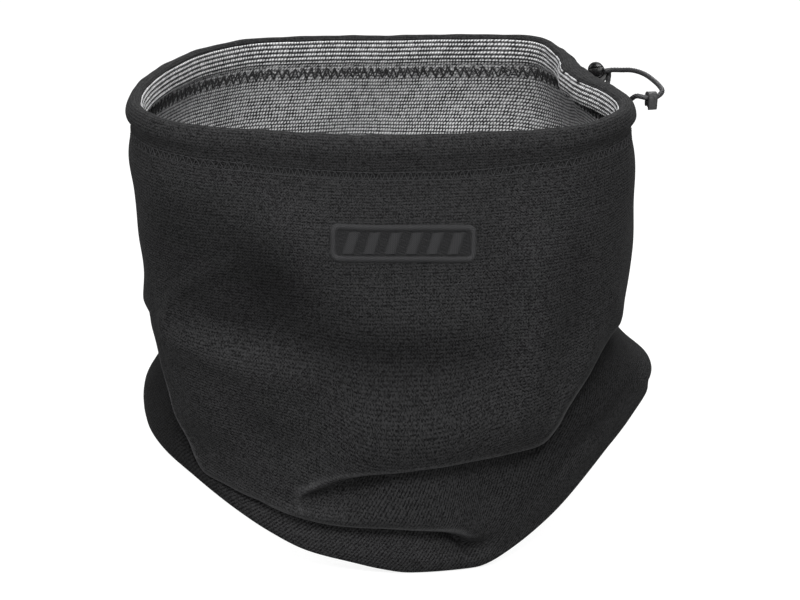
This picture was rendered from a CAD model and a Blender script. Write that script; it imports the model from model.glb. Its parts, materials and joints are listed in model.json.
"""Looks for the neck gaiter: fine knit sheets with sculpted folds, sewn threads, a braided
elastic cord and moulded fittings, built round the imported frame.

Design tables are in millimetres, in the plan frame the part was drawn in; SHIFT moves them
onto the row frame. Nothing is read from disk but the frame.
"""

import json
import math

import bmesh
import bpy
import numpy as np
from mathutils import Matrix, Vector
from mathutils.bvhtree import BVHTree


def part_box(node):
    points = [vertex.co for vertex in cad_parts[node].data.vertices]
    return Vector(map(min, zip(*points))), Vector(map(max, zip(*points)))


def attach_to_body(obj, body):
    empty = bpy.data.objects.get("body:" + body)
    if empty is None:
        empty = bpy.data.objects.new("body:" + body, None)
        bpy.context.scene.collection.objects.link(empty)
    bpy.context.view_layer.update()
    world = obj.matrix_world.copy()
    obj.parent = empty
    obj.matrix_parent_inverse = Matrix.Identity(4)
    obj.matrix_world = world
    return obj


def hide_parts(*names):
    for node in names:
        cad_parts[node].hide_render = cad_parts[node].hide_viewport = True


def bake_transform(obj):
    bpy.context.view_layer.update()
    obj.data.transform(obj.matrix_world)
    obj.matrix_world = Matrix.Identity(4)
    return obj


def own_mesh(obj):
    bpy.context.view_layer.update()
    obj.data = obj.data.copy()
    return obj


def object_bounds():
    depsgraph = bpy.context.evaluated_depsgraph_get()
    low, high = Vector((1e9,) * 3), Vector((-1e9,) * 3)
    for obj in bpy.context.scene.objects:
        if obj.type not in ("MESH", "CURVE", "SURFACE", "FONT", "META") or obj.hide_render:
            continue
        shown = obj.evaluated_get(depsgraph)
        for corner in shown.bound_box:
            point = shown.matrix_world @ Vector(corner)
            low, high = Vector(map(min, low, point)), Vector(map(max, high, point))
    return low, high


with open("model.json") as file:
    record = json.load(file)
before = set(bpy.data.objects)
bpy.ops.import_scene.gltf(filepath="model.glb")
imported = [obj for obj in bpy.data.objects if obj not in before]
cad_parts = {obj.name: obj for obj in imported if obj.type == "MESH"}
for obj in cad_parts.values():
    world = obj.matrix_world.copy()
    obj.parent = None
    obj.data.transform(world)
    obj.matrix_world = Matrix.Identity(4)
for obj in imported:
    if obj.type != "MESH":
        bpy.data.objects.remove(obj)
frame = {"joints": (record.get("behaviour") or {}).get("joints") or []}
cad_lo, cad_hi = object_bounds()
MM = 0.001

# ------------------------------------------------------------------ dimensions
RIM_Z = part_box("outer_shell")[1].z / MM
AXIS_Y = 6.0
SHIFT = np.array((-6.316, -7.622, 0.0))
SHELL_T, LINING_T, LAYER_GAP = 0.9, 0.8, 0.5
CORD_R, CORD_DROP, CORD_IN, STRAND = 1.0, 8.0, 2.7, 1.15

RIM = [(-162, 98.8), (-152, 97.5), (-138, 90.4), (-123.6, 79.2), (-103.3, 74.2),
       (-84, 73.6), (-62.6, 78.6), (-48, 88.2), (-40, 94.6), (-30, 98.4), (-20, 100.3),
       (-13, 98.6), (-6, 95.2), (0, 91.8), (5, 88.8), (12, 87.0), (20.5, 87.0), (25, 88.4),
       (29.5, 91.0), (34.6, 93.4), (40.5, 96.8), (45.5, 101.0), (49.5, 102.6), (53, 101.2),
       (59, 96.0), (68.4, 88.6), (90, 80.6), (113, 85.8), (130, 94.0), (144.7, 94.9),
       (156, 93.8), (165, 93.9), (178, 95.3), (189.5, 97.4)]
BODY = [(-165, 96.0), (-150, 100.4), (-135, 95.5), (-118, 85.0), (-100, 79.0), (-82, 78.2),
        (-62, 85.0), (-42, 98.0), (-22, 101.6), (0, 97.4), (20, 98.0), (38, 101.0),
        (54, 98.5), (72, 87.5), (90, 83.0), (110, 86.5), (130, 95.5), (150, 98.0),
        (170, 93.8), (180, 92.8)]
WAIST = [(-165, 91.6), (-150, 96.6), (-133, 94.8), (-112, 84.5), (-90, 80.5), (-62, 87.5),
         (-42, 97.6), (-22, 97.2), (0, 92.0), (20, 95.0), (38, 99.5), (54, 98.5),
         (72, 88.5), (90, 84.5), (110, 87.5), (130, 95.0), (150, 96.0), (170, 89.2),
         (180, 88.2)]
FLARE = [(-169, 93.0), (-150, 95.0), (-133, 92.2), (-112, 84.0), (-90, 80.8), (-70, 84.4),
         (-50, 92.6), (-36, 97.6), (-24, 102.2), (-16, 106.4), (-10, 108.0), (-5, 106.0),
         (0, 101.6), (6, 98.0), (14, 96.6), (24, 97.8), (36, 99.4), (52, 97.0), (72, 87.5),
         (90, 84.2), (110, 87.0), (130, 95.0), (150, 97.0), (168, 94.0), (180, 92.8)]
SKIRT = [(-169, 96.8), (-160, 95.2), (-139, 89.5), (-114, 83.5), (-92, 81.0), (-74, 83.0),
         (-50, 89.0), (-31, 97.4), (-16, 106.2), (-9, 108.8), (-3, 108.0), (3, 105.0),
         (10, 102.2), (20, 101.2), (34, 99.6), (50, 94.0), (70, 86.5), (90, 84.0),
         (110, 86.5), (132, 95.0), (152, 98.0), (170, 97.6), (180, 97.2)]
LEVELS = [(154.0, RIM), (116.0, BODY), (74.0, WAIST), (58.5, FLARE), (42.0, SKIRT)]
HEM_Z = [(-172, 38.5), (-165, 35.4), (-155.5, 32.4), (-146, 29.2), (-137.7, 24.8),
         (-129.6, 19.6), (-121.2, 14.0), (-110.4, 8.0), (-98, 4.2), (-90, 1.6), (-82, 0),
         (-64, 0), (-61, 1), (-54.8, 5.3), (-47.7, 11.3), (-41.8, 17.3), (-32, 29.5),
         (-22.3, 41.0), (-17, 46.0), (-10, 49.2), (0, 50.8), (12, 49.0), (22, 44), (40, 30),
         (58, 12), (72, 0), (118, 0), (135, 10), (150, 24), (166, 36), (178, 39.5)]
FOLD_A_Z = [(-165, 97), (-157, 95.5), (-153, 92), (-150, 84), (-147, 71), (-144, 60.5),
            (-140, 51.5), (-134, 46), (-126, 40.5), (-118, 35), (-113, 31.2), (-110, 32.4),
            (-107, 35.4), (-103, 37.4), (-95, 39.6), (-84.8, 41.0), (-74.5, 42.5),
            (-66.8, 43.7), (-59, 44.6), (-50.2, 45.3), (-47, 46.5), (-45.4, 50.0),
            (-42.7, 57.6), (-39.5, 64.7), (-35.6, 69.7), (-30.9, 75.1), (-26.8, 78.8),
            (-21.5, 83.6), (-10, 86), (5, 84), (30, 77), (50, 66), (70, 57), (90, 53),
            (110, 57), (128, 68), (145, 84), (160, 95), (180, 98)]
FOLD_A = [(-150, 0), (-118, 0), (-109, 0.1), (-101, 0.45), (-94, 0.85), (-86, 1), (-40, 1),
          (-28, 0.8), (-16, 0.4), (4, 0.25), (28, 0.45), (48, 0.8), (70, 0.95), (95, 0.9),
          (112, 0.6), (126, 0.15), (140, 0), (180, 0)]
FOLD_B_Z = [(-162, 81.5), (-156, 80.0), (-153.5, 77.8), (-151.6, 73.3), (-150.1, 68.0),
            (-147.7, 56.6), (-146.3, 48.6), (-143.9, 40.4), (-141.4, 33.2), (-139.1, 30.0),
            (-133.7, 28.3), (-127.8, 26.3), (-122.2, 24.6), (-111.2, 20.8), (-105.8, 19.2),
            (-98, 18.0), (-84.7, 17.5), (-74.3, 16.4), (-69.1, 14.8), (-65, 12.2),
            (-60, 13.5), (-52, 22), (-44, 31.5), (-38, 41), (-25, 55), (-14, 62.5),
            (-8, 66), (6, 68), (22, 63), (40, 49), (56, 34), (68, 24), (82, 21), (95, 22),
            (112, 29), (130, 41), (148, 57), (166, 72), (180, 79)]
FOLD_B = [(-168, 0.35), (-156, 0.6), (-148, 0.95), (-140, 1), (-82, 1), (-73, 0.85),
          (-67, 0.5), (-62, 0.15), (-56, 0), (50, 0), (62, 0.1), (74, 0.6), (88, 0.95),
          (130, 1), (148, 0.7), (164, 0.35), (180, 0.25)]
ROLL = [(-150, 5.4), (-120, 4.8), (-60, 4.8), (-32, 5.2), (-18, 6.5), (-6, 9.0),
        (6, 11.0), (18, 11.0), (28, 9.0), (38, 6.0), (50, 5.0), (120, 4.8),
        (160, 5.6), (180, 5.8)]
LIP_R, TUCK_R, OVERLAP = 3.0, 1.1, 4.0
LIP_STEP = 2 * LIP_R * math.sin(math.radians(30))
TUCK_STEP = 2 * TUCK_R * math.sin(math.radians(45))
FOLD_STEPS = ([(LIP_STEP, a) for a in (30, 90, 150)] + [(OVERLAP, 177)]
              + [(TUCK_STEP, a) for a in (135, 45)] + [(3.2, 4)])

# Height of the stitched line, and how sharply the roll pinches in above it.
STITCH_Z = [(-180, 157.0), (-141, 156.6), (-123, 155.6), (-90, 155.0), (-68, 154.8),
            (-53, 155.8), (-38, 157.0), (0, 157.5), (30, 157.0), (60, 156.0), (120, 156.0)]
PINCH = [(-178, 1.0), (-160, 1.0), (-140, 0.55), (-120, 0.25), (-60, 0.25), (-42, 0.5),
         (-26, 1.0), (0, 1.0), (30, 0.8), (60, 0.5), (120, 0.5), (150, 0.8)]

# Where the skirt stays tucked in longer below the fold, at the left shoulder.
TUCKED = [(-172, 0.4), (-160, 1.0), (-142, 1.0), (-135, 0.0), (150, 0.0), (172, 0.2)]

STATION_COUNT = 540
ANGLES = np.arange(STATION_COUNT) * 360.0 / STATION_COUNT - 180.0


# --------------------------------------------------------------------- shapes
def around(table, angle=ANGLES):
    """Monotone cubic through a periodic table of (degrees, value)."""
    x = np.array([p[0] for p in table], float)
    y = np.array([p[1] for p in table], float)
    span = np.diff(np.append(x, x[0] + 360))
    slope = np.diff(np.append(y, y[0])) / span
    before = np.roll(slope, 1)
    total = np.where(np.abs(before + slope) < 1e-12, 1.0, before + slope)
    tangent = np.where(before * slope > 0, 2 * before * slope / total, 0.0)
    a = (np.asarray(angle, float) - x[0]) % 360 + x[0]
    i = np.clip(np.searchsorted(x, a, side="right") - 1, 0, len(x) - 1)
    j = (i + 1) % len(x)
    h = span[i]
    t = (a - x[i]) / h
    return ((1 + 2 * t) * (1 - t) ** 2 * y[i] + t * (1 - t) ** 2 * h * tangent[i]
            + t * t * (3 - 2 * t) * y[j] + t * t * (t - 1) * h * tangent[j])


def eased(values, degrees):
    """Rounds the small corners a table leaves, by a circular Gaussian."""
    step = 360.0 / len(values)
    reach = int(3 * degrees / step) + 1
    k = np.arange(-reach, reach + 1) * step
    weight = np.exp(-0.5 * (k / degrees) ** 2)
    weight /= weight.sum()
    return sum(w * np.roll(values, int(round(s / step))) for s, w in zip(k, weight))


def smooth(t):
    t = np.clip(t, 0.0, 1.0)
    return t * t * (3 - 2 * t)


RIM_R = eased(around(RIM), 1.2)
ROLL_W = eased(around(ROLL), 2.0)
LEVEL_R = [eased(around(table), 1.6) for _, table in LEVELS]
LEVEL_Z = [z for z, _ in LEVELS]
HEM_EDGE = eased(around(HEM_Z), 1.2)
STITCH_LINE = eased(around(STITCH_Z), 3.0)
PINCHED = eased(around(PINCH), 4.0)
CLOSED_A = np.clip(eased(around(FOLD_A), 2.0), 0, 1)
CLOSED_B = np.clip(eased(around(FOLD_B), 2.0), 0, 1)
LINE_A = eased(around(FOLD_A_Z), 0.35) + 3.5
LINE_B = eased(around(FOLD_B_Z), 0.35) + 3.5


def wall_radius(z):
    """Outer radius of the unfolded tube at each station, at these heights."""
    out = np.where(z >= LEVEL_Z[0], LEVEL_R[0], LEVEL_R[-1])
    for k in range(len(LEVELS) - 1):
        hi, lo = LEVEL_Z[k], LEVEL_Z[k + 1]
        t = smooth((hi - z) / (hi - lo))
        inside = (z < hi) & (z >= lo)
        out = np.where(inside, (1 - t) * LEVEL_R[k] + t * LEVEL_R[k + 1], out)
    return out


def fold_points(z, f):
    scale = 0.4 + 0.6 * f
    start = wall_radius(z)
    inward = 0.0
    points = [(start, z)]
    for length, turn in FOLD_STEPS:
        phi = np.radians(turn * f)
        inward = inward + scale * length * np.sin(phi)
        z = z - scale * length * np.cos(phi)
        follow = (1 - f) * (wall_radius(z) - start)
        points.append((start - inward + follow, z))
    return points


def channel_points():
    r, w, p, s = RIM_R, ROLL_W, PINCHED, STITCH_LINE
    return [(r - 0.97 * w, RIM_Z - 2.3 + 0 * r), (r - 0.9 * w, RIM_Z - 0.9 + 0 * r),
            (r - 0.62 * w, RIM_Z - 0.05 + 0 * r), (r - 0.27 * w, RIM_Z - 0.5 + 0 * r),
            (r - 0.1, RIM_Z - 2.8 + 0 * r), (r + 0.45, RIM_Z - 5.6 + 0 * r),
            (r + 0.2 - 1.7 * p, RIM_Z - 9.8 + 0 * r), (r - 0.6 - 0.7 * p, s + 1.6),
            (r - 1.3, s), (r - 0.9, s - 1.9)]


CHANNEL = 10
FIRST_A, FIRST_B = CHANNEL + 3, CHANNEL + 13  # path places where the two folds start


def tier(top, low, shares):
    inset = wall_radius(top[1]) - top[0]
    points = []
    for t in shares:
        z = top[1] + (low[1] - top[1]) * t
        points.append((wall_radius(z) - inset * (1 - smooth(t)), z))
    return points


def outer_path():
    """(stations, points, 2): the shell's outer face from the rim's inner turn to the edge."""
    path = channel_points()
    fold_a = fold_points(LINE_A, CLOSED_A)
    top = STITCH_LINE - 7.0
    start = fold_a[0][1]
    for t in (0.0, 0.3, 0.64):
        z = top + (start - top) * t
        path.append((wall_radius(z), z))
    path += fold_a
    fold_b = fold_points(LINE_B, CLOSED_B)
    path += tier(path[-1], fold_b[0], (0.28, 0.66))
    path += fold_b
    edge = HEM_EDGE
    hem_r = wall_radius(edge) - 1.0
    (r, z), low = path[-1], edge + 4.5
    back_out = 0.425 - 0.22 * eased(around(TUCKED), 1.5)
    path.append((r + (hem_r - r) * back_out, z + (low - z) * 0.45))
    path += [(hem_r, low), (hem_r - 0.05, edge + 1.1)]
    return np.stack([np.stack(p, -1) for p in path], 1)


def inset(path, depth):
    seg = np.diff(path, axis=1)
    size = np.linalg.norm(seg, axis=2, keepdims=True)
    normal = np.stack([-seg[..., 1], seg[..., 0]], -1) / size
    both = np.concatenate([normal[:, :1], 0.5 * (normal[:, :-1] + normal[:, 1:]),
                           normal[:, -1:]], 1)
    square = np.maximum((both ** 2).sum(2, keepdims=True), 0.45)
    return path - depth * both / square


def fine(path, spacing):
    """Chord-length cubic through the points, with the same rows at every station."""
    step = np.diff(path, axis=1)
    d = np.linalg.norm(step, axis=2)[..., None]
    v = step / d
    m = np.empty_like(path)
    m[:, 0], m[:, -1] = v[:, 0], v[:, -1]
    m[:, 1:-1] = (v[:, :-1] * d[:, 1:] + v[:, 1:] * d[:, :-1]) / (d[:, :-1] + d[:, 1:])
    rows, where = [], []
    for i in range(path.shape[1] - 1):
        want = spacing(i) if callable(spacing) else spacing
        n = max(1, int(math.ceil(d[:, i].max() / want)))
        for k in range(n):
            t = k / n
            rows.append((1 + 2 * t) * (1 - t) ** 2 * path[:, i] + t * (1 - t) ** 2 * d[:, i] * m[:, i]
                        + t * t * (3 - 2 * t) * path[:, i + 1]
                        + t * t * (t - 1) * d[:, i] * m[:, i + 1])
            where.append(i + t)
    rows.append(path[:, -1])
    where.append(path.shape[1] - 1)
    return np.stack(rows, 1), np.array(where)


def lengths(rows):
    d = np.linalg.norm(np.diff(rows, axis=1), axis=2)
    return np.concatenate([np.zeros((len(rows), 1)), np.cumsum(d, 1)], 1)


def in_space(rows, sideways=0.0):
    r, z = rows[..., 0], rows[..., 1]
    a = np.radians(ANGLES)[:, None] + sideways / r
    return np.stack([r * np.cos(a), r * np.sin(a) + AXIS_Y, z], -1) + SHIFT


def tilt_of(line):
    step = math.radians(360.0 / STATION_COUNT)
    climb = (np.roll(line, -1) - np.roll(line, 1)) / (2 * step * wall_radius(line))
    return np.arctan(np.clip(climb, -2.6, 2.6))[:, None]


def squared(rows, place):
    """Turns each fold square to its own line, where that line climbs steeply."""
    rows, sideways = rows.copy(), np.zeros(rows.shape[:2])
    for line, closed, first in ((LINE_A, CLOSED_A, FIRST_A), (LINE_B, CLOSED_B, FIRST_B)):
        tilt = tilt_of(line)
        weight = (smooth((place - first + 0.5) / 0.5) * (1 - smooth((place - first - 7) / 2.5))
                  * closed[:, None])
        off = rows[..., 1] - line[:, None]
        off = np.clip(off, -4.0, 5.5) * weight
        sideways -= off * np.sin(tilt)
        rows[..., 1] += off * (np.cos(tilt) - 1)
    return rows, sideways


def grid_normals(points, closed_rows):
    """Unit normals of a station x row grid, pointing away from the fabric's outside."""
    du = np.roll(points, -1, 0) - np.roll(points, 1, 0)
    if closed_rows:
        dv = np.roll(points, -1, 1) - np.roll(points, 1, 1)
    else:
        dv = np.empty_like(points)
        dv[:, 1:-1] = points[:, 2:] - points[:, :-2]
        dv[:, 0], dv[:, -1] = points[:, 1] - points[:, 0], points[:, -1] - points[:, -2]
    n = np.cross(dv, du)
    return n / np.maximum(np.linalg.norm(n, axis=2, keepdims=True), 1e-9)


# Soft creases of the body and skirt: (degrees, z, height, half width) along each one.
# Below zero is a valley. "top" is the body, "low" the two tiers under the folds.
CREASES = [
    ("top", [(-147, 88, 0.2, 3.5), (-145.7, 93.8, 1.0, 3.4), (-142.8, 102, 1.3, 3.4),
             (-139.7, 108.6, 1.2, 3.6), (-134.5, 115.4, 0.9, 4.0), (-128, 119.5, 0.5, 5),
             (-121, 121, 0.0, 6)]),
    ("top", [(-160, 108, -0.4, 10), (-148, 108, -1.2, 12), (-136, 108, -2.0, 13),
             (-126, 106, -2.4, 14), (-116, 102, -2.2, 13), (-106, 99, -1.4, 12),
             (-94, 97, -0.6, 11)]),
    ("top", [(-140, 142, 0.3, 9), (-128, 142, 0.6, 9), (-114, 136, 0.7, 9), (-102, 126, 0.5, 9)]),
    ("top", [(-150, 84, 0.4, 6), (-143, 86, 1.0, 6), (-134, 85.6, 1.1, 6), (-122, 82, 0.9, 7),
             (-112, 79, 0.7, 8), (-100, 75, 0.3, 9), (-88, 72, 0.0, 9)]),
    ("top", [(-133, 97, -0.9, 6), (-122, 94.5, -1.2, 7), (-110, 89.7, -1.3, 8),
             (-97, 86, -1.3, 8), (-79, 84.5, -1.1, 8), (-60, 86, -0.5, 9), (-54, 87, 0, 9)]),
    ("top", [(-51, 132, 0.3, 6), (-51.6, 116, 0.8, 5.5), (-51.7, 96, 0.9, 5), (-52.4, 77, 0.8, 5),
             (-53.5, 60, 0.4, 6)]),
    ("top", [(-43, 118, -0.6, 7), (-43, 96, -0.9, 7), (-43.5, 78, -0.6, 7)]),
    ("top", [(-30, 112, 0.0, 7), (-28, 98, 0.7, 6), (-22, 86, 0.8, 6), (-15, 80, 0.2, 6)]),
    ("top", [(-112, 66, 0.0, 9), (-96, 62, 0.6, 10), (-76, 60, 0.8, 11), (-60, 62, 0.4, 10)]),
    ("top", [(-128, 62, -0.3, 7), (-120, 56, -0.9, 7), (-112, 50, -0.7, 7)]),
    ("top", [(-150, 112, 0.3, 7), (-156, 96, 0.9, 7), (-160, 80, 0.6, 7)]),
    ("top", [(8, 140, -0.8, 9), (14, 124, -1.0, 10), (22, 106, -0.6, 10)]),
    ("top", [(40, 134, 0.4, 8), (46, 112, 1.0, 9), (50, 92, 0.7, 9), (56, 80, 0.2, 9)]),
    ("top", [(66, 128, -0.4, 9), (78, 112, -1.2, 10), (92, 100, -1.2, 10), (108, 96, -0.5, 10)]),
    ("top", [(84, 134, 0.0, 8), (98, 126, 0.8, 8), (114, 112, 1.1, 9), (128, 98, 0.7, 9)]),
    ("top", [(140, 138, -0.3, 8), (150, 122, -1.1, 9), (160, 108, -0.9, 9), (170, 98, -0.3, 9)]),
    ("top", [(170, 130, 0.4, 8), (176, 116, 0.9, 8), (-176, 102, 0.6, 8)]),
    ("low", [(-118, 24, 0.3, 5), (-104, 27, 0.7, 5), (-90, 27, 0.6, 5), (-76, 29, 0.3, 6)]),
    ("low", [(-60, 30, -0.4, 5), (-52, 36, -0.7, 6), (-45, 42, -0.4, 6)]),
    ("low", [(-44, 22, 0.3, 5), (-34, 38, 0.8, 5), (-24, 52, 0.5, 6)]),
    ("low", [(-100, 10, 0.3, 4), (-84, 9, 0.6, 4.5), (-68, 7, 0.4, 5)]),
    ("low", [(-18, 56, 0.5, 5), (-6, 63, 0.8, 5), (8, 64, 0.6, 6)]),
    ("low", [(86, 30, 0.4, 6), (102, 26, 0.8, 6), (118, 30, 0.4, 6)]),
    ("low", [(74, 8, -0.4, 5), (92, 10, -0.7, 6), (112, 9, -0.4, 6)]),
    # Where the knit lies in its own shade: amounts from 0 to 1 in place of heights.
    ("shade", [(-152, 130, 0.2, 12), (-138, 128, 0.58, 13), (-128, 126, 0.74, 14),
               (-118, 118, 0.9, 12), (-111, 112, 0.6, 10), (-104, 106, 0.25, 9)]),
    ("shade", [(-140, 104, 0.35, 8), (-128, 102, 0.55, 9), (-116, 99, 0.5, 10), (-104, 94, 0.36, 10),
               (-90, 92, 0.32, 9), (-76, 93, 0.34, 9), (-62, 93, 0.26, 8)]),
    ("shade", [(-70, 138, 0.0, 12), (-62, 134, 0.18, 12), (-56, 118, 0.18, 12), (-58, 106, 0.1, 12)]),
    ("shade", [(-126, 148, 0.1, 8), (-134, 144, 0.3, 9), (-144, 140, 0.32, 9)]),
    ("shade", [(-42, 132, 0.16, 6), (-42, 112, 0.2, 6), (-42, 92, 0.2, 6)]),
    ("shade", [(-124, 56, 0.2, 6), (-116, 50, 0.25, 5)]),
    ("shade", [(-120, 86, 0.1, 10), (-102, 82, 0.38, 14), (-84, 79, 0.42, 14), (-68, 78, 0.3, 13),
               (-58, 78, 0.1, 10)]),
    # The curl at the upper fold's left end, round its small pocket.
    ("curl", [(-103, 37.2, 0.2, 1.6), (-106, 36.4, 0.6, 1.7), (-109, 34.9, 0.75, 1.8),
              (-111.4, 32.0, 0.8, 1.9), (-112.2, 28.6, 0.75, 1.9), (-111.2, 25.4, 0.5, 1.9),
              (-108, 24.2, 0.1, 2)]),
    ("curl", [(-109.2, 31.0, -0.55, 2.0), (-106, 31.6, -0.8, 2.3), (-102, 32.4, -0.4, 2.4)]),
]
CREASE_R, CREASE_GAIN = 93.0, 1.9


def creased(angles, z, layer):
    """Sum of the creases at (angles, z), arrays of one shape."""
    total = np.zeros(np.broadcast(angles, z).shape)
    for where, points in CREASES:
        if where != layer:
            continue
        best = np.full(total.shape, 1e9)
        value = np.zeros(total.shape)
        for (a0, z0, h0, w0), (a1, z1, h1, w1) in zip(points, points[1:]):
            s0 = np.radians((angles - a0 + 180) % 360 - 180) * CREASE_R
            q = z - z0
            ds = math.radians((a1 - a0 + 180) % 360 - 180) * CREASE_R
            dz = z1 - z0
            t = np.clip((s0 * ds + q * dz) / (ds * ds + dz * dz), 0, 1)
            dist = np.hypot(s0 - t * ds, q - t * dz)
            near = dist < best
            here = (h0 + (h1 - h0) * t) * np.exp(-(dist / (w0 + (w1 - w0) * t)) ** 2)
            value = np.where(near, here, value)
            best = np.where(near, dist, best)
        total += value
    return total


def uneven(angles, z):
    """The slow unevenness a hanging knit has, a few tenths of a millimetre."""
    a = np.radians(angles)
    return (0.22 * np.sin(5 * a + 0.05 * z + 0.7) + 0.16 * np.sin(9 * a - 0.07 * z + 2.1)
            + 0.10 * np.sin(17 * a + 0.11 * z + 4.0) + 0.07 * np.sin(29 * a - 0.16 * z + 1.3)
            + 0.12 * np.sin(0.19 * z + 3 * a))


def move_out(rows, place):
    """How far the fabric stands off its plain form, for rows at these path places."""
    a = np.broadcast_to(ANGLES[:, None], rows.shape[:2])
    z = rows[..., 1]
    body = smooth((place - (CHANNEL - 1.5)) / 2.0) * (1 - smooth((place - (CHANNEL + 5.0)) / 2.5))
    low = smooth((place - (CHANNEL + 9.0)) / 2.0)
    hem = 1 - smooth((place - (CHANNEL - 2.6)) / 1.2)
    curl = smooth((place - FIRST_A) / 1.0) * (1 - CLOSED_A[:, None])
    out = CREASE_GAIN * (body * creased(a, z, "top") + low * creased(a, z, "low")
                         + curl * creased(a, z, "curl"))
    out += 0.6 * (body + low) * uneven(a, z)
    # The roll is gathered on the cord, most of all by the lock.
    near = np.exp(-(((a - 20 + 180) % 360 - 180) / 21.0) ** 2)
    wave = (np.sin(np.radians(a) * 61 + 0.4) + 0.6 * np.sin(np.radians(a) * 97 + 1.9))
    out += hem * (0.13 * near * wave + 0.10 * np.sin(np.radians(a) * 23)
                  + 0.05 * np.sin(np.radians(a) * 47 + 2.0))
    out += body * 0.25 * near * np.sin(np.radians(a) * 41 + 0.4) * np.exp(-((z - 150) / 9.0) ** 2)
    return out


def pulled_stitches(rows):
    """The seam's own pull: a narrow groove with a pucker at each stitch."""
    z = rows[..., 1]
    off = np.exp(-((z - STITCH_LINE[:, None]) / 1.7) ** 2)
    a = np.radians(ANGLES)[:, None]
    return -off * (0.28 + 0.08 * np.sin(a * 180))


# --------------------------------------------------------------- mesh helpers
def attach(name, mesh, material):
    obj = bpy.data.objects.new(name, mesh)
    bpy.context.scene.collection.objects.link(obj)
    if material is not None:
        mesh.materials.append(material)
    return obj


def grid_mesh(name, points, u, v, closed_rows, flip=False, cloth=None):
    """A station x row grid as quads, with knit coordinates in millimetres."""
    count, rows = points.shape[:2]
    last = rows if closed_rows else rows - 1
    i = np.repeat(np.arange(count), last)
    j = np.tile(np.arange(last), count)
    i2, j2 = (i + 1) % count, (j + 1) % rows
    corners = [(i, j), (i, j2), (i2, j2), (i2, j)]
    if flip:
        corners = corners[::-1]
    faces = np.stack([a * rows + b for a, b in corners], 1).ravel()
    mesh = bpy.data.meshes.new(name)
    mesh.vertices.add(count * rows)
    mesh.vertices.foreach_set("co", (points.reshape(-1, 3) * MM).astype(np.float32).ravel())
    total = len(i)
    mesh.loops.add(4 * total)
    mesh.loops.foreach_set("vertex_index", faces.astype(np.int32))
    mesh.polygons.add(total)
    mesh.polygons.foreach_set("loop_start", np.arange(0, 4 * total, 4, dtype=np.int32))
    mesh.polygons.foreach_set("loop_total", np.full(total, 4, np.int32))
    layer = mesh.uv_layers.new(name="knit")
    around_u = np.append(u, 2 * u[-1] - u[-2])
    us, vs = [], []
    for a, b in corners:
        wrapped = np.where((a == 0) & (i == count - 1), count, a)
        us.append(around_u[wrapped])
        vs.append(v[a, b])
    uv = np.stack([np.stack(us, 1), np.stack(vs, 1)], -1)
    layer.data.foreach_set("uv", uv.astype(np.float32).ravel())
    if cloth is not None:
        paint = mesh.attributes.new("cloth", "FLOAT_COLOR", "POINT")
        paint.data.foreach_set("color", cloth.astype(np.float32).ravel())
    mesh.update(calc_edges=True)
    mesh.validate()
    mesh.shade_smooth()
    return mesh


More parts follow.
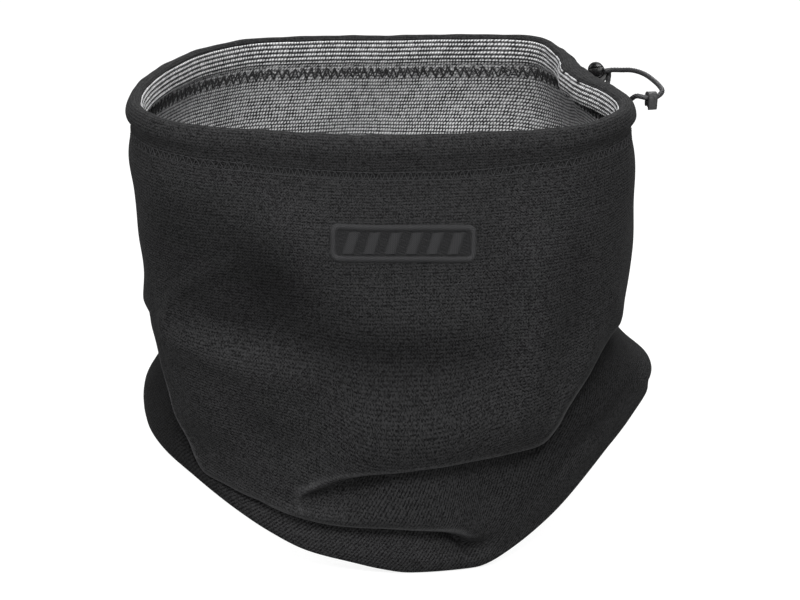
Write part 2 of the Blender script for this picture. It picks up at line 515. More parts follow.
class Tubes:
    """Round-section strands gathered into one mesh, with (turn, length in mm) coordinates."""

    def __init__(self):
        self.points, self.faces, self.uv, self.count = [], [], [], 0

    def add(self, path, side, radius, sides=6, closed=False, relief=None, flat=1.0, seed=0.0):
        path = np.asarray(path, float)
        n = len(path)
        if closed:
            ahead, behind = np.roll(path, -1, 0), np.roll(path, 1, 0)
            tangent = ahead - behind
        else:
            tangent = np.gradient(path, axis=0)
        tangent /= np.linalg.norm(tangent, axis=1, keepdims=True)
        side = np.broadcast_to(np.asarray(side, float), path.shape)
        x = side - tangent * (side * tangent).sum(1, keepdims=True)
        x /= np.maximum(np.linalg.norm(x, axis=1, keepdims=True), 1e-9)
        y = np.cross(tangent, x)
        step = np.linalg.norm(np.diff(path, axis=0), axis=1)
        along = np.concatenate([[0], np.cumsum(step)])
        turn = np.arange(sides) / sides
        t = turn[None, :] * math.tau
        r = np.broadcast_to(np.asarray(radius, float), (n,))[:, None] * np.ones((n, sides))
        if relief is not None:
            r = r + relief(np.broadcast_to(t, r.shape), np.broadcast_to(along[:, None], r.shape))
        ring = (path[:, None, :] + x[:, None, :] * (r * flat * np.cos(t))[..., None]
                + y[:, None, :] * (r * np.sin(t))[..., None])
        base = self.count
        self.points.append(ring.reshape(-1, 3))
        self.count += n * sides
        spans = n if closed else n - 1
        i = np.repeat(np.arange(spans), sides)
        j = np.tile(np.arange(sides), spans)
        i2, j2 = (i + 1) % n, (j + 1) % sides
        quads = np.stack([i * sides + j, i * sides + j2, i2 * sides + j2, i2 * sides + j], 1)
        self.faces.append((quads + base, 4))
        u0, u1 = j / sides, (j + 1) / sides
        end = np.append(along, along[-1] + (np.linalg.norm(path[0] - path[-1]) if closed else 0))
        v0, v1 = end[i] + seed, end[i + 1] + seed
        self.uv.append(np.stack([np.stack([u0, v0], -1), np.stack([u1, v0], -1),
                                 np.stack([u1, v1], -1), np.stack([u0, v1], -1)], 1))
        if not closed:
            for ring_at, order in ((0, -1), (n - 1, 1)):
                fan = base + ring_at * sides + np.arange(sides)[::order]
                self.faces.append((fan[None, :], sides))
                self.uv.append(np.zeros((1, sides, 2)) + np.array([0.5, seed]))

    def mesh(self, name):
        mesh = bpy.data.meshes.new(name)
        points = np.concatenate(self.points)
        mesh.vertices.add(len(points))
        mesh.vertices.foreach_set("co", (points * MM).astype(np.float32).ravel())
        flat = np.concatenate([f.ravel() for f, _ in self.faces])
        sizes = np.concatenate([np.full(len(f), k) for f, k in self.faces])
        mesh.loops.add(len(flat))
        mesh.loops.foreach_set("vertex_index", flat.astype(np.int32))
        mesh.polygons.add(len(sizes))
        mesh.polygons.foreach_set("loop_start", np.concatenate([[0], np.cumsum(sizes)[:-1]]).astype(np.int32))
        mesh.polygons.foreach_set("loop_total", sizes.astype(np.int32))
        layer = mesh.uv_layers.new(name="knit")
        layer.data.foreach_set("uv", np.concatenate([k.reshape(-1, 2) for k in self.uv])
                               .astype(np.float32).ravel())
        mesh.update(calc_edges=True)
        mesh.validate()
        mesh.shade_smooth()
        return mesh


def curve_through(points, per_span):
    pts = np.asarray(points, float)
    pts = np.vstack([2 * pts[0] - pts[1], pts, 2 * pts[-1] - pts[-2]])
    out = []
    for i in range(1, len(pts) - 2):
        p0, p1, p2, p3 = pts[i - 1:i + 3]
        for k in range(per_span):
            t = k / per_span
            out.append(0.5 * (2 * p1 + (p2 - p0) * t + (2 * p0 - 5 * p1 + 4 * p2 - p3) * t * t
                              + (3 * p1 - p0 - 3 * p2 + p3) * t ** 3))
    out.append(pts[-2])
    return np.array(out)


def evenly(path, spacing):
    path = np.asarray(path, float)
    along = np.concatenate([[0], np.cumsum(np.linalg.norm(np.diff(path, axis=0), axis=1))])
    n = max(2, int(round(along[-1] / spacing)) + 1)
    at = np.linspace(0, along[-1], n)
    return np.stack([np.interp(at, along, path[:, k]) for k in range(3)], 1)


def relaxed(path, passes):
    path = path.copy()
    for _ in range(passes):
        path[1:-1] = 0.25 * path[:-2] + 0.5 * path[1:-1] + 0.25 * path[2:]
    return path


# ------------------------------------------------------------------- materials
class Value:
    """A number in a node tree, with arithmetic."""

    def __init__(self, tree, socket):
        self.tree, self.socket = tree, socket

    def op(self, kind, *others, clamp=False):
        node = self.tree.nodes.new("ShaderNodeMath")
        node.operation, node.use_clamp = kind, clamp
        for slot, item in zip(node.inputs, (self, *others)):
            if isinstance(item, Value):
                self.tree.links.new(item.socket, slot)
            else:
                slot.default_value = item
        return Value(self.tree, node.outputs[0])

    def __add__(self, other):
        return self.op("ADD", other)

    def __sub__(self, other):
        return self.op("SUBTRACT", other)

    def __mul__(self, other):
        return self.op("MULTIPLY", other)

    def __truediv__(self, other):
        return self.op("DIVIDE", other)

    def fract(self):
        return self.op("FRACT")

    def floor(self):
        return self.op("FLOOR")

    def abs(self):
        return self.op("ABSOLUTE")

    def cos(self):
        return self.op("COSINE")

    def wave(self):
        """0 to 1 cosine of a count of turns."""
        return (self * math.tau).cos() * 0.5 + 0.5

    def power(self, p):
        return self.op("POWER", p)

    def ramp(self, lo, hi, to_lo=0.0, to_hi=1.0):
        node = self.tree.nodes.new("ShaderNodeMapRange")
        node.interpolation_type = "SMOOTHSTEP"
        for k, item in enumerate((self, lo, hi, to_lo, to_hi)):
            if isinstance(item, Value):
                self.tree.links.new(item.socket, node.inputs[k])
            else:
                node.inputs[k].default_value = item
        return Value(self.tree, node.outputs[0])


class Look:
    """One procedural material under construction."""

    def __init__(self, name):
        self.material = bpy.data.materials.new(name)
        self.material.use_nodes = True
        self.tree = self.material.node_tree
        self.shader = self.tree.nodes["Principled BSDF"]

    def uv(self):
        node = self.tree.nodes.new("ShaderNodeUVMap")
        node.uv_map = "knit"
        split = self.tree.nodes.new("ShaderNodeSeparateXYZ")
        self.tree.links.new(node.outputs[0], split.inputs[0])
        return Value(self.tree, split.outputs[0]), Value(self.tree, split.outputs[1])

    def cloth(self):
        """The mesh's own marks: worn fold edges, shade and how open the courses are."""
        node = self.tree.nodes.new("ShaderNodeAttribute")
        node.attribute_name = "cloth"
        split = self.tree.nodes.new("ShaderNodeSeparateColor")
        self.tree.links.new(node.outputs["Color"], split.inputs[0])
        return [Value(self.tree, split.outputs[k]) for k in range(3)]

    def point(self, x, y, z=0.0):
        node = self.tree.nodes.new("ShaderNodeCombineXYZ")
        for slot, item in zip(node.inputs, (x, y, z)):
            if isinstance(item, Value):
                self.tree.links.new(item.socket, slot)
            else:
                slot.default_value = item
        return node.outputs[0]

    def place(self):
        return self.tree.nodes.new("ShaderNodeTexCoord").outputs["Object"]

    def noise(self, vector, scale, detail=2.0, rough=0.5):
        node = self.tree.nodes.new("ShaderNodeTexNoise")
        self.tree.links.new(vector, node.inputs["Vector"])
        node.inputs["Scale"].default_value = scale
        node.inputs["Detail"].default_value = detail
        node.inputs["Roughness"].default_value = rough
        return Value(self.tree, node.outputs[0])

    def speckle(self, vector):
        node = self.tree.nodes.new("ShaderNodeTexWhiteNoise")
        node.noise_dimensions = "2D"
        self.tree.links.new(vector, node.inputs["Vector"])
        return Value(self.tree, node.outputs["Value"])

    def mix(self, factor, a, b):
        node = self.tree.nodes.new("ShaderNodeMix")
        node.data_type = "RGBA"
        self.tree.links.new(factor.socket, node.inputs[0])
        for slot, item in ((node.inputs[6], a), (node.inputs[7], b)):
            if isinstance(item, tuple):
                slot.default_value = (*item, 1.0)
            else:
                self.tree.links.new(item, slot)
        return node.outputs[2]

    def set(self, **inputs):
        names = {"colour": "Base Color", "rough": "Roughness", "metal": "Metallic",
                 "sheen": "Sheen Weight", "sheen_rough": "Sheen Roughness",
                 "sheen_tint": "Sheen Tint", "specular": "Specular IOR Level",
                 "coat": "Coat Weight", "coat_rough": "Coat Roughness"}
        for key, item in inputs.items():
            slot = self.shader.inputs[names[key]]
            if isinstance(item, Value):
                self.tree.links.new(item.socket, slot)
            elif isinstance(item, (float, int)):
                slot.default_value = item
            elif isinstance(item, tuple):
                slot.default_value = (*item, 1.0)
            else:
                self.tree.links.new(item, slot)

    def bump(self, height, depth, strength=1.0):
        """Height from 0 to 1, as this many millimetres of relief."""
        node = self.tree.nodes.new("ShaderNodeBump")
        node.inputs["Strength"].default_value = strength
        node.inputs["Distance"].default_value = depth * MM
        self.tree.links.new(height.socket, node.inputs["Height"])
        self.tree.links.new(node.outputs[0], self.shader.inputs["Normal"])


def shell_look():
    look = Look("black_jersey_knit")
    u, v = look.uv()
    worn, shade, open_rows = look.cloth()
    drift = look.noise(look.point(u * 0.02, v * 0.02), 1.0, 2.0) * 1.6
    wander = look.noise(look.point(u * 0.45, v * 0.45, 7.0), 1.0, 2.0) - 0.5
    wale = (u + drift * 0.5 + wander * 0.35) / 1.17
    cell = wale.fract() - 0.5
    edge = cell.abs() * 2.0
    course = (v + drift + wander * 0.3) / 1.14
    yarn = (course + edge * 0.32).wave()
    leg = (edge * 2.0 - 1.0).abs().op("MULTIPLY", -1.0) + 1.0
    height = yarn.power(0.8) * (leg.power(0.6) * 0.3 + (edge * -1.0 + 1.0).power(0.7) * 0.6 + 0.15)
    stitch = look.speckle(look.point(wale.floor(), (course + edge * 0.32).floor()))
    fleck = look.speckle(look.point(((u + wander) / 0.42).floor(), ((v + wander) / 0.38).floor()))
    fuzz = look.noise(look.place(), 5200.0, 2.0, 0.7)
    patch = look.noise(look.place(), 40.0, 3.0, 0.55)
    ladder = ((u * 0.74 + v * 0.67) / 1.2 + wander * 0.2).wave()
    column = wale.wave()
    tone = ((height * 0.34 + (column - 0.5) * 0.14 + 0.02) * (open_rows * -0.6 + 1.0)
            + stitch * 0.03 + fleck * 0.56 + fuzz * 0.26
            + (open_rows * 0.85 + 0.15) * (ladder - 0.5) * 0.36 + open_rows * 0.1)
    lit = look.mix(tone.ramp(0.12, 1.0), (0.0010, 0.0010, 0.0012), (0.0385, 0.0385, 0.0395))
    lit = look.mix(patch.ramp(0.35, 0.7, 0.0, 0.05), lit, (0.021, 0.021, 0.0215))
    dim = look.mix(tone.ramp(0.12, 1.0), (0.0005, 0.0005, 0.0006), (0.0100, 0.0100, 0.0105))
    colour = look.mix(shade, lit, dim)
    colour = look.mix(worn * (fleck * 0.35 + 0.65), colour, (0.095, 0.095, 0.097))
    look.set(colour=colour, rough=fuzz * 0.1 + 0.84, specular=0.16, sheen=0.035, sheen_rough=0.3,
             sheen_tint=(0.8, 0.8, 0.82))
    look.bump(height * 0.6 + fleck * 0.25 + ladder * open_rows * 0.3, 0.2)
    return look.material


def lining_look():
    look = Look("grey_heather_knit")
    u, v = look.uv()
    drift = look.noise(look.point(u * 0.03, v * 0.03), 1.0, 2.0) * 1.2
    wander = look.noise(look.point(u * 0.5, v * 0.5, 3.0), 1.0, 2.0) - 0.5
    rib = v.op("LESS_THAN", 10.6)
    plain = rib * -1.0 + 1.0
    row = (v / 1.76) * rib + ((v + wander * 0.5) / 1.5) * plain
    course = row.floor()
    lean = row.fract()
    shift = look.speckle(look.point(course, 3.0)) * 0.9
    loop = (u + drift + wander * 0.8) / 1.28 - lean * 0.6 + shift
    across = loop.wave()
    band = (row + 0.5).wave()
    stitch = look.speckle(look.point(loop.floor(), course))
    fuzz = look.noise(look.place(), 4200.0, 3.0, 0.75)
    dots = look.noise(look.place(), 1500.0, 2.0, 0.6)
    height = band.power(0.7) * (across * 0.75 + 0.25)
    dash = band.power(0.7) * (across * 0.95 + 0.05)
    ridge = band.power(0.75) * (across * 0.8 + 0.25)
    light = ((dash * 1.12 + 0.06) * plain + ridge * rib * 0.9 + (stitch - 0.5) * 0.26
             + (dots - 0.5) * 0.25 + (fuzz - 0.5) * 0.3)
    seam = v.ramp(10.2, 12.0) * v.ramp(17.2, 19.0, 1.0, 0.0)
    flecks = look.speckle(look.point(((u + wander) * 1.3).floor(), (v * 1.3).floor()))
    light = light * (seam * -0.5 + 1.0) + seam * (flecks * 0.5 - 0.04) + rib * 0.02
    colour = look.mix(light.ramp(0.0, 0.95), (0.022, 0.022, 0.023), (0.86, 0.86, 0.87))
    _, shade, _ = look.cloth()
    colour = look.mix(shade, colour, (0.03, 0.03, 0.031))
    # The turned edge shows a sawtooth of the two yarns where the layers join.
    tooth = (u / 1.15 + wander).fract() - 0.5
    join = v.ramp(0.0, 1.3) - tooth.abs() * 1.3 - (stitch - 0.5) * 0.5
    colour = look.mix(join.ramp(-0.35, -0.2), (0.012, 0.012, 0.013), colour)
    look.set(colour=colour, rough=0.92, specular=0.15, sheen=0.12, sheen_rough=0.5,
             sheen_tint=(0.8, 0.8, 0.82))
    look.bump(height * 0.8 + fuzz * 0.2, 0.24)
    return look.material


def thread_look(name, dark, light, twist=0.55):
    look = Look(name)
    u, v = look.uv()
    ply = (v / twist + u * 2.0).wave()
    fuzz = look.noise(look.place(), 6000.0, 2.0, 0.6)
    colour = look.mix((ply * 0.7 + fuzz * 0.4).ramp(0.2, 0.95), dark, light)
    look.set(colour=colour, rough=0.68, specular=0.25, sheen=0.05, sheen_rough=0.4)
    look.bump(ply * 0.8 + fuzz * 0.2, 0.05)
    return look.material


def cord_look():
    look = Look("braided_elastic")
    u, v = look.uv()
    a = u * 6.0 + v / 1.5
    b = u * 6.0 - v / 1.5
    left, right = a.wave(), b.wave()
    over = ((a + b) * 0.5).wave().ramp(0.4, 0.6)
    strand = left * over + right * (over * -1.0 + 1.0)
    fibre = look.noise(look.place(), 7000.0, 2.0, 0.6)
    colour = look.mix((strand * 0.75 + fibre * 0.35).ramp(0.25, 0.95), (0.010, 0.010, 0.011),
                      (0.060, 0.060, 0.063))
    look.set(colour=colour, rough=0.5, specular=0.4, sheen=0.05, sheen_rough=0.35,
             sheen_tint=(0.8, 0.8, 0.82))
    look.bump(strand * 0.85 + fibre * 0.15, 0.07)
    return look.material


def plastic_look(name, base, rough, shine=0.26):
    look = Look(name)
    place = look.place()
    grain = look.noise(place, 9000.0, 3.0, 0.6)
    wear = look.noise(place, 900.0, 4.0, 0.6)
    flow = look.noise(place, 260.0, 2.0, 0.5)
    colour = look.mix(wear.ramp(0.35, 0.75), base, tuple(k * 1.8 for k in base))
    look.set(colour=colour, rough=wear.ramp(0.3, 0.7, rough - 0.07, rough + 0.09), specular=shine,
             coat=0.03, coat_rough=0.25)
    look.bump(grain * 0.35 + flow * 0.65, 0.02, 0.6)
    return look.material


def steel_look():
    look = Look("spring_steel")
    u, v = look.uv()
    drawn = look.noise(look.point(u * 60.0, v * 0.4), 1.0, 2.0, 0.6)
    stain = look.noise(look.place(), 1200.0, 3.0, 0.6)
    colour = look.mix(stain.ramp(0.4, 0.7), (0.50, 0.50, 0.52), (0.62, 0.62, 0.63))
    look.set(colour=colour, metal=1.0, rough=drawn.ramp(0.3, 0.7, 0.22, 0.4))
    look.bump(drawn, 0.01)
    return look.material


def camera_only(tree):
    return tree.nodes.new("ShaderNodeLightPath").outputs["Is Camera Ray"]


def floor_look():
    """A white sweep: it looks white to the camera and sends only a little light back up."""
    look = Look("studio_floor")
    grain = look.noise(look.place(), 3.0, 2.0, 0.5)
    colour = look.mix(grain.ramp(0.3, 0.7), (0.23, 0.23, 0.23), (0.25, 0.25, 0.25))
    look.set(colour=colour, rough=0.8, specular=0.0)
    look.shader.inputs["Emission Color"].default_value = (1, 1, 1, 1)
    bright = Value(look.tree, camera_only(look.tree)) * 0.86
    look.tree.links.new(bright.socket, look.shader.inputs["Emission Strength"])
    return look.material


SHELL = shell_look()
LINING = lining_look()
SEAM = thread_look("seam_thread", (0.011, 0.011, 0.012), (0.062, 0.062, 0.064))
SEAM_DARK = thread_look("seam_thread_dark", (0.003, 0.003, 0.003), (0.012, 0.012, 0.013))
SEAM_IN = thread_look("lining_seam_thread", (0.012, 0.012, 0.013), (0.075, 0.075, 0.077))
SATIN = thread_look("satin_embroidery", (0.016, 0.016, 0.017), (0.052, 0.052, 0.054), 0.8)
SATIN_DARK = thread_look("fill_embroidery", (0.008, 0.008, 0.009), (0.032, 0.032, 0.033), 0.8)
CORD = cord_look()
PLASTIC = plastic_look("moulded_black_plastic", (0.0018, 0.0018, 0.0020), 0.21)
BAND = plastic_look("moulded_grey_band", (0.042, 0.042, 0.043), 0.30, 0.5)
STEEL = steel_look()

# ------------------------------------------------------------------ outer shell
path = outer_path()
LAST = path.shape[1] - 1


def shell_spacing(i):
    return 0.75 if i < CHANNEL else 0.42 if i in (FIRST_A, FIRST_A + 1, FIRST_B, FIRST_B + 1) else 1.25


rows, place = fine(path, shell_spacing)
along = lengths(rows)
spread = move_out(rows, place) + pulled_stitches(rows)
edge_r, edge_z = path[:, -1, 0], HEM_EDGE
turn = np.stack([
    np.stack([edge_r - 0.25, edge_z + 0.35], -1), np.stack([edge_r - 0.9, edge_z + 0.02], -1),
    np.stack([edge_r - 1.9, edge_z + 0.0], -1), np.stack([edge_r - 2.8, edge_z + 0.1], -1),
    np.stack([edge_r - 3.35, edge_z + 0.5], -1), np.stack([edge_r - 3.5, edge_z + 1.4], -1),
    np.stack([edge_r - 3.5, edge_z + 3.0], -1), np.stack([edge_r - 3.25, edge_z + 3.45], -1),
    np.stack([edge_r - 2.8, edge_z + 3.4], -1), np.stack([edge_r - 2.7, edge_z + 2.6], -1),
    np.stack([edge_r - 2.6, edge_z + 1.3], -1)], 1)
inner = inset(path, SHELL_T)
inner[:, -1] = np.stack([edge_r - SHELL_T, edge_z + 1.3], -1)
inner_rows, inner_place = fine(inner[:, ::-1], 5.0)
inner_place = LAST - inner_place
inner_spread = move_out(inner_rows, inner_place)
rows, aside = squared(rows, place)
inner_rows, inner_aside = squared(inner_rows, inner_place)
loop = np.concatenate([rows, turn, inner_rows], 1)
outward = np.concatenate([spread, np.zeros(turn.shape[:2]), -inner_spread], 1)
points = in_space(loop, np.concatenate([aside, np.zeros(turn.shape[:2]), inner_aside], 1))
normals = grid_normals(points, True)
points = points + normals * outward[..., None]
total_u = math.tau * 92.0
u = np.arange(STATION_COUNT) / STATION_COUNT * total_u
# Courses run with the rim above and with the cut edge below.
to_edge = along[:, -1:] - along
mean_length = along[:, -1].mean()
share = smooth((along / along[:, -1:] - 0.22) / 0.74)
course = along * (1 - share) + (mean_length - to_edge) * share
rest_v = np.concatenate([course, course[:, -1:] + lengths(turn) + 0.5,
                         course[:, -1:] + 12 + lengths(inner_rows)], 1)
shell_points = points[:, :rows.shape[1]]
shell_normals = grid_normals(points, True)[:, :rows.shape[1]]

# Marks for the knit: rubbed fold edges, the shaded shoulders and the skirt's opened courses.
worn = 0.0
for line, closed, first, rub in ((LINE_A, CLOSED_A, FIRST_A, 0.4), (LINE_B, CLOSED_B ** 2, FIRST_B, 0.85)):
    at = int(np.argmax(place >= first + 0.85))
    steep = np.abs(np.sin(tilt_of(line)))
    away = along - along[:, at:at + 1]
    shut = np.clip(closed * (1 + 0.8 * steep[:, 0]), 0, 1)[:, None]
    shut = shut * (rub + (1 - rub) * steep)
    spread_out = steep * np.clip(closed[:, None] * 2, 0, 1)
    worn = worn + shut * (np.exp(-((away + 1.6 * spread_out) / (0.95 + 2.0 * spread_out)) ** 2)
                                     + 0.16 * np.exp(-(np.minimum(away, 0) / 4.0) ** 2)
                                     * (away < 1.0))
under_a = smooth((place - FIRST_A - 3) / 1.0)
under_b = smooth((place - FIRST_B - 3) / 1.0)
left = eased(around([(-172, 1), (-150, 1), (-138, 0.8), (-128, 0.2), (-118, 0), (150, 0),
                     (172, 0.6)]), 2)
right = eased(around([(-105, 0), (-90, 0.3), (-64, 0.4), (-50, 0.65), (-40, 0.9), (-14, 1),
                      (20, 0.6), (40, 0)]), 2)
from_lip = smooth((place - FIRST_A - 3) / 1.0) * (1 - 0.75 * smooth((place - FIRST_A - 8) / 8))
shade = creased(ANGLES[:, None], rows[..., 1], "shade") * (1 - under_a)
dimmed = 0.75 * left[:, None] * under_b + 0.72 * right[:, None] * from_lip + shade
marks = np.zeros((*points.shape[:2], 4))
curl = creased(ANGLES[:, None], rows[..., 1], "curl") * smooth((place - FIRST_A) / 1.0)
worn = worn + 0.3 * np.clip(curl, 0, 1) * (1 - CLOSED_A[:, None])
dimmed = dimmed + 0.5 * np.clip(-curl, 0, 1)
marks[:, :rows.shape[1], 0] = np.clip(worn, 0, 1)
marks[:, :rows.shape[1], 1] = np.clip(dimmed, 0, 0.85)
marks[:, :rows.shape[1], 2] = np.maximum(under_a * CLOSED_A[:, None], under_b * CLOSED_B[:, None])
marks[..., 3] = 1.0
shell = attach("outer_shell_knit", grid_mesh("outer_shell_knit", points, u, rest_v, True,
                                             cloth=marks), SHELL)
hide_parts("outer_shell")
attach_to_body(shell, "gaiter")

# ----------------------------------------------------------------- inner lining
r, w = RIM_R, ROLL_W
zero = 0 * r
under = path[:, CHANNEL - 2:]
face = inset(under, SHELL_T + LAYER_GAP + LINING_T)
face[:, -1] = np.stack([path[:, -1, 0] - 2.2, HEM_EDGE + 1.5], -1)
top = np.stack([np.stack(p, -1) for p in (
    (r - 0.86 * w, RIM_Z - 1.6 + zero), (r - 0.99 * w, RIM_Z - 2.2 + zero),
    (r - w - 0.25, RIM_Z - 4.2 + zero), (r - w - 0.4, RIM_Z - 7.2 + zero),
    (r - 0.8 * w - 1.2, RIM_Z - 10.4 + zero), (r - 0.4 * w - 2.2, STITCH_LINE + 1.9))], 1)
path_in = np.concatenate([top, face], 1)
TOP = top.shape[1]


def lining_spacing(i):
    return 0.34 if i < TOP else (0.6 if i < TOP + 2 else 1.25)


rows_in, place_in = fine(path_in, lining_spacing)
along_in = lengths(rows_in)
spread_in = move_out(rows_in, place_in - TOP + CHANNEL - 2)
ribs = (1 - smooth((along_in - 9.8) / 1.2)) * smooth(along_in / 1.0)
spread_in = spread_in * smooth((along_in - 6) / 8) - ribs * 0.24 * np.cos(math.tau * (along_in / 1.76 + 0.5))
gather = np.exp(-(((ANGLES - 30 + 180) % 360 - 180) / 22.0) ** 2)[:, None]
tucks = np.sin(np.radians(ANGLES) * 29 + 0.9)[:, None]
spread_in += 0.35 * gather * tucks * smooth((along_in - 5) / 6) * (1 - smooth((along_in - 18) / 22))
back = inset(path_in, -LINING_T)
back[:, 0] = np.stack([r - 0.86 * w + 0.5, RIM_Z - 2.0 + zero], -1)
back[:, 1] = np.stack([r - 0.99 * w + 0.8, RIM_Z - 3.0 + zero], -1)
back_rows, back_place = fine(back[:, ::-1], 5.0)
back_place = LAST - (CHANNEL - 2) + TOP - back_place
rows_in, aside_in = squared(rows_in, place_in - TOP + CHANNEL - 2)
back_rows, back_aside = squared(back_rows, back_place - TOP + CHANNEL - 2)
loop = np.concatenate([rows_in, back_rows], 1)
outward = np.concatenate([spread_in, -move_out(back_rows, back_place - TOP + CHANNEL - 2) *
                          smooth((back_place - TOP + 1) / 2)], 1)
points = in_space(loop, np.concatenate([aside_in, back_aside], 1))
normals = grid_normals(points, True)
points = points + normals * outward[..., None]
lining_v = np.concatenate([along_in, along_in[:, -1:] + 3 + lengths(back_rows)], 1)
lining_points = points[:, :rows_in.shape[1]]
lining_normals = grid_normals(points, True)[:, :rows_in.shape[1]]
marks = np.zeros((*points.shape[:2], 4))
marks[..., 1] = (eased(around([(-180, 0.42), (-165, 0.5), (-150, 0.25), (-130, 0), (0, 0.15), (20, 0.5),
                               (45, 0.42), (62, 0.1), (75, 0), (110, 0), (140, 0.15), (165, 0.34)]), 3)[:, None]
                 * smooth((lining_v - 8.0) / 3.0) * (1 - 0.6 * smooth((lining_v - 20.0) / 25.0)))
marks[..., 3] = 1.0
lining = attach("inner_lining_knit",
                grid_mesh("inner_lining_knit", points, u, lining_v, True, flip=True, cloth=marks),
                LINING)
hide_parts("inner_lining")
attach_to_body(lining, "gaiter")


# ---------------------------------------------------------------- seam threads
def on_grid(points, normals, heights, angle, z, off):
    """Points this far off the face, at these angles and heights."""
    at = (np.asarray(angle) + 180.0) % 360 * STATION_COUNT / 360
    i = np.floor(at).astype(int) % STATION_COUNT
    f = (at - np.floor(at))[:, None]
    out = []
    for k in (i, (i + 1) % STATION_COUNT):
        column = heights[k]
        j = np.argmax(column <= np.asarray(z)[:, None], axis=1)
        j = np.maximum(j, 1)
        pick = np.arange(len(k))
        z0, z1 = column[pick, j - 1], column[pick, j]
        t = ((z0 - z) / np.maximum(z0 - z1, 1e-6))[:, None]
        p = points[k, j - 1] * (1 - t) + points[k, j] * t
        n = normals[k, j - 1] * (1 - t) + normals[k, j] * t
        out.append((p, n))
    p = out[0][0] * (1 - f) + out[1][0] * f
    n = out[0][1] * (1 - f) + out[1][1] * f
    n /= np.linalg.norm(n, axis=1, keepdims=True)
    return p + n * np.asarray(off)[..., None], n


def zigzag(points, normals, heights, count, tall, radius, off, sag, per_leg, drop=0.0):
    """One continuous zigzag round the hem, a count of legs long."""
    steps = np.arange(count * per_leg)
    leg, t = steps // per_leg, (steps % per_leg) / per_leg
    up = np.where(leg % 2 == 0, -1 + 2 * smooth(t * 0.8 + 0.1), 1 - 2 * smooth(t * 0.8 + 0.1))
    angle = (steps / (count * per_leg)) * 360 - 180
    jitter = 0.12 * np.sin(leg * 2.7) + 0.08 * np.sin(leg * 5.3)
    z = np.interp(angle, np.append(ANGLES, 180), np.append(STITCH_LINE, STITCH_LINE[0]))
    z = z + up * tall / 2 + jitter * tall * 0.3 - drop
    lift = off + sag * np.sin(np.pi * t)
    return on_grid(points, normals, heights, angle, z, lift)


shell_z = rows[..., 1].copy()
first = int(np.argmax(place >= 4))
stitches = Tubes()
zig, side = zigzag(shell_points[:, first:], shell_normals[:, first:], shell_z[:, first:],
                   404, 2.9, 0.2, 0.02, 0.22, 6)
stitches.add(zig, side, 0.2, 6, closed=True)
for drop, seed in ((-1.5, 1.0), (1.5, 2.0)):
    count = 240
    steps = np.arange(count * 6)
    angle = steps / (count * 6) * 360 - 180
    z = np.interp(angle, np.append(ANGLES, 180), np.append(STITCH_LINE, STITCH_LINE[0])) - drop
    lift = 0.16 - 0.34 * np.abs(np.cos(np.pi * steps / 6)) ** 6
    line, side = on_grid(shell_points[:, first:], shell_normals[:, first:], shell_z[:, first:],
                         angle, z, lift)
    stitches.add(line, side, 0.17, 6, closed=True, seed=seed)
seam_out = attach("channel_stitch_outer_thread", stitches.mesh("channel_stitch_outer_thread"), SEAM)
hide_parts("channel_stitch_outer")
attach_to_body(seam_out, "gaiter")

lining_z = rows_in[..., 1].copy()
first_in = int(np.argmax(place_in >= 3))
stitches = Tubes()
zig, side = zigzag(lining_points[:, first_in:], -lining_normals[:, first_in:], lining_z[:, first_in:],
                   320, 4.9, 0.35, 0.08, 0.22, 7, drop=1.9)
stitches.add(zig, side, 0.32, 6, closed=True)
zig, side = zigzag(lining_points[:, first_in:], -lining_normals[:, first_in:], lining_z[:, first_in:],
                   404, 2.0, 0.2, 0.06, 0.22, 6, drop=1.6)
stitches.add(zig, side, 0.2, 5, closed=True, seed=3.0)
seam_in = attach("channel_stitch_inner_thread", stitches.mesh("channel_stitch_inner_thread"), SEAM_IN)
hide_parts("channel_stitch_inner")
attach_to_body(seam_in, "gaiter")

# -------------------------------------------------------------------- drawcord
joints = {j["name"]: j for j in frame["joints"]}
E = np.array(joints["cord_lock_slide"]["axis"], float)
E /= np.linalg.norm(E)
A = -np.array(joints["lock_button_press"]["axis"], float)
A = A - E * (A @ E)
A /= np.linalg.norm(A)
LOCK = np.array((86.6, 41.0, 165.3)) + SHIFT
CLIP = np.array((103.8, -1.2, 166.5)) + SHIFT
near, far = LOCK + A * STRAND, LOCK - A * STRAND
clip_dir = np.array((-0.95, -0.30, 0.02))
clip_dir /= np.linalg.norm(clip_dir)


def plan(*points):
    return [np.asarray(p, float) + SHIFT for p in points]


def in_tunnel(angle, extra=0.0):
    r = np.interp(angle, ANGLES, RIM_R) - CORD_IN - extra
    a = math.radians(angle)
    return np.array((r * math.cos(a), r * math.sin(a) + AXIS_Y, RIM_Z - CORD_DROP)) + SHIFT


def braid(t, s):
    """The plait's relief, as two families of strands passing over and under."""
    a = 6 * t + s * math.tau / 1.5
    b = 6 * t - s * math.tau / 1.5
    over = smooth((0.5 + 0.5 * np.cos((a + b) / 2) - 0.35) / 0.3)
    return 0.075 * (over * np.cos(a) + (1 - over) * np.cos(b)) - 0.03


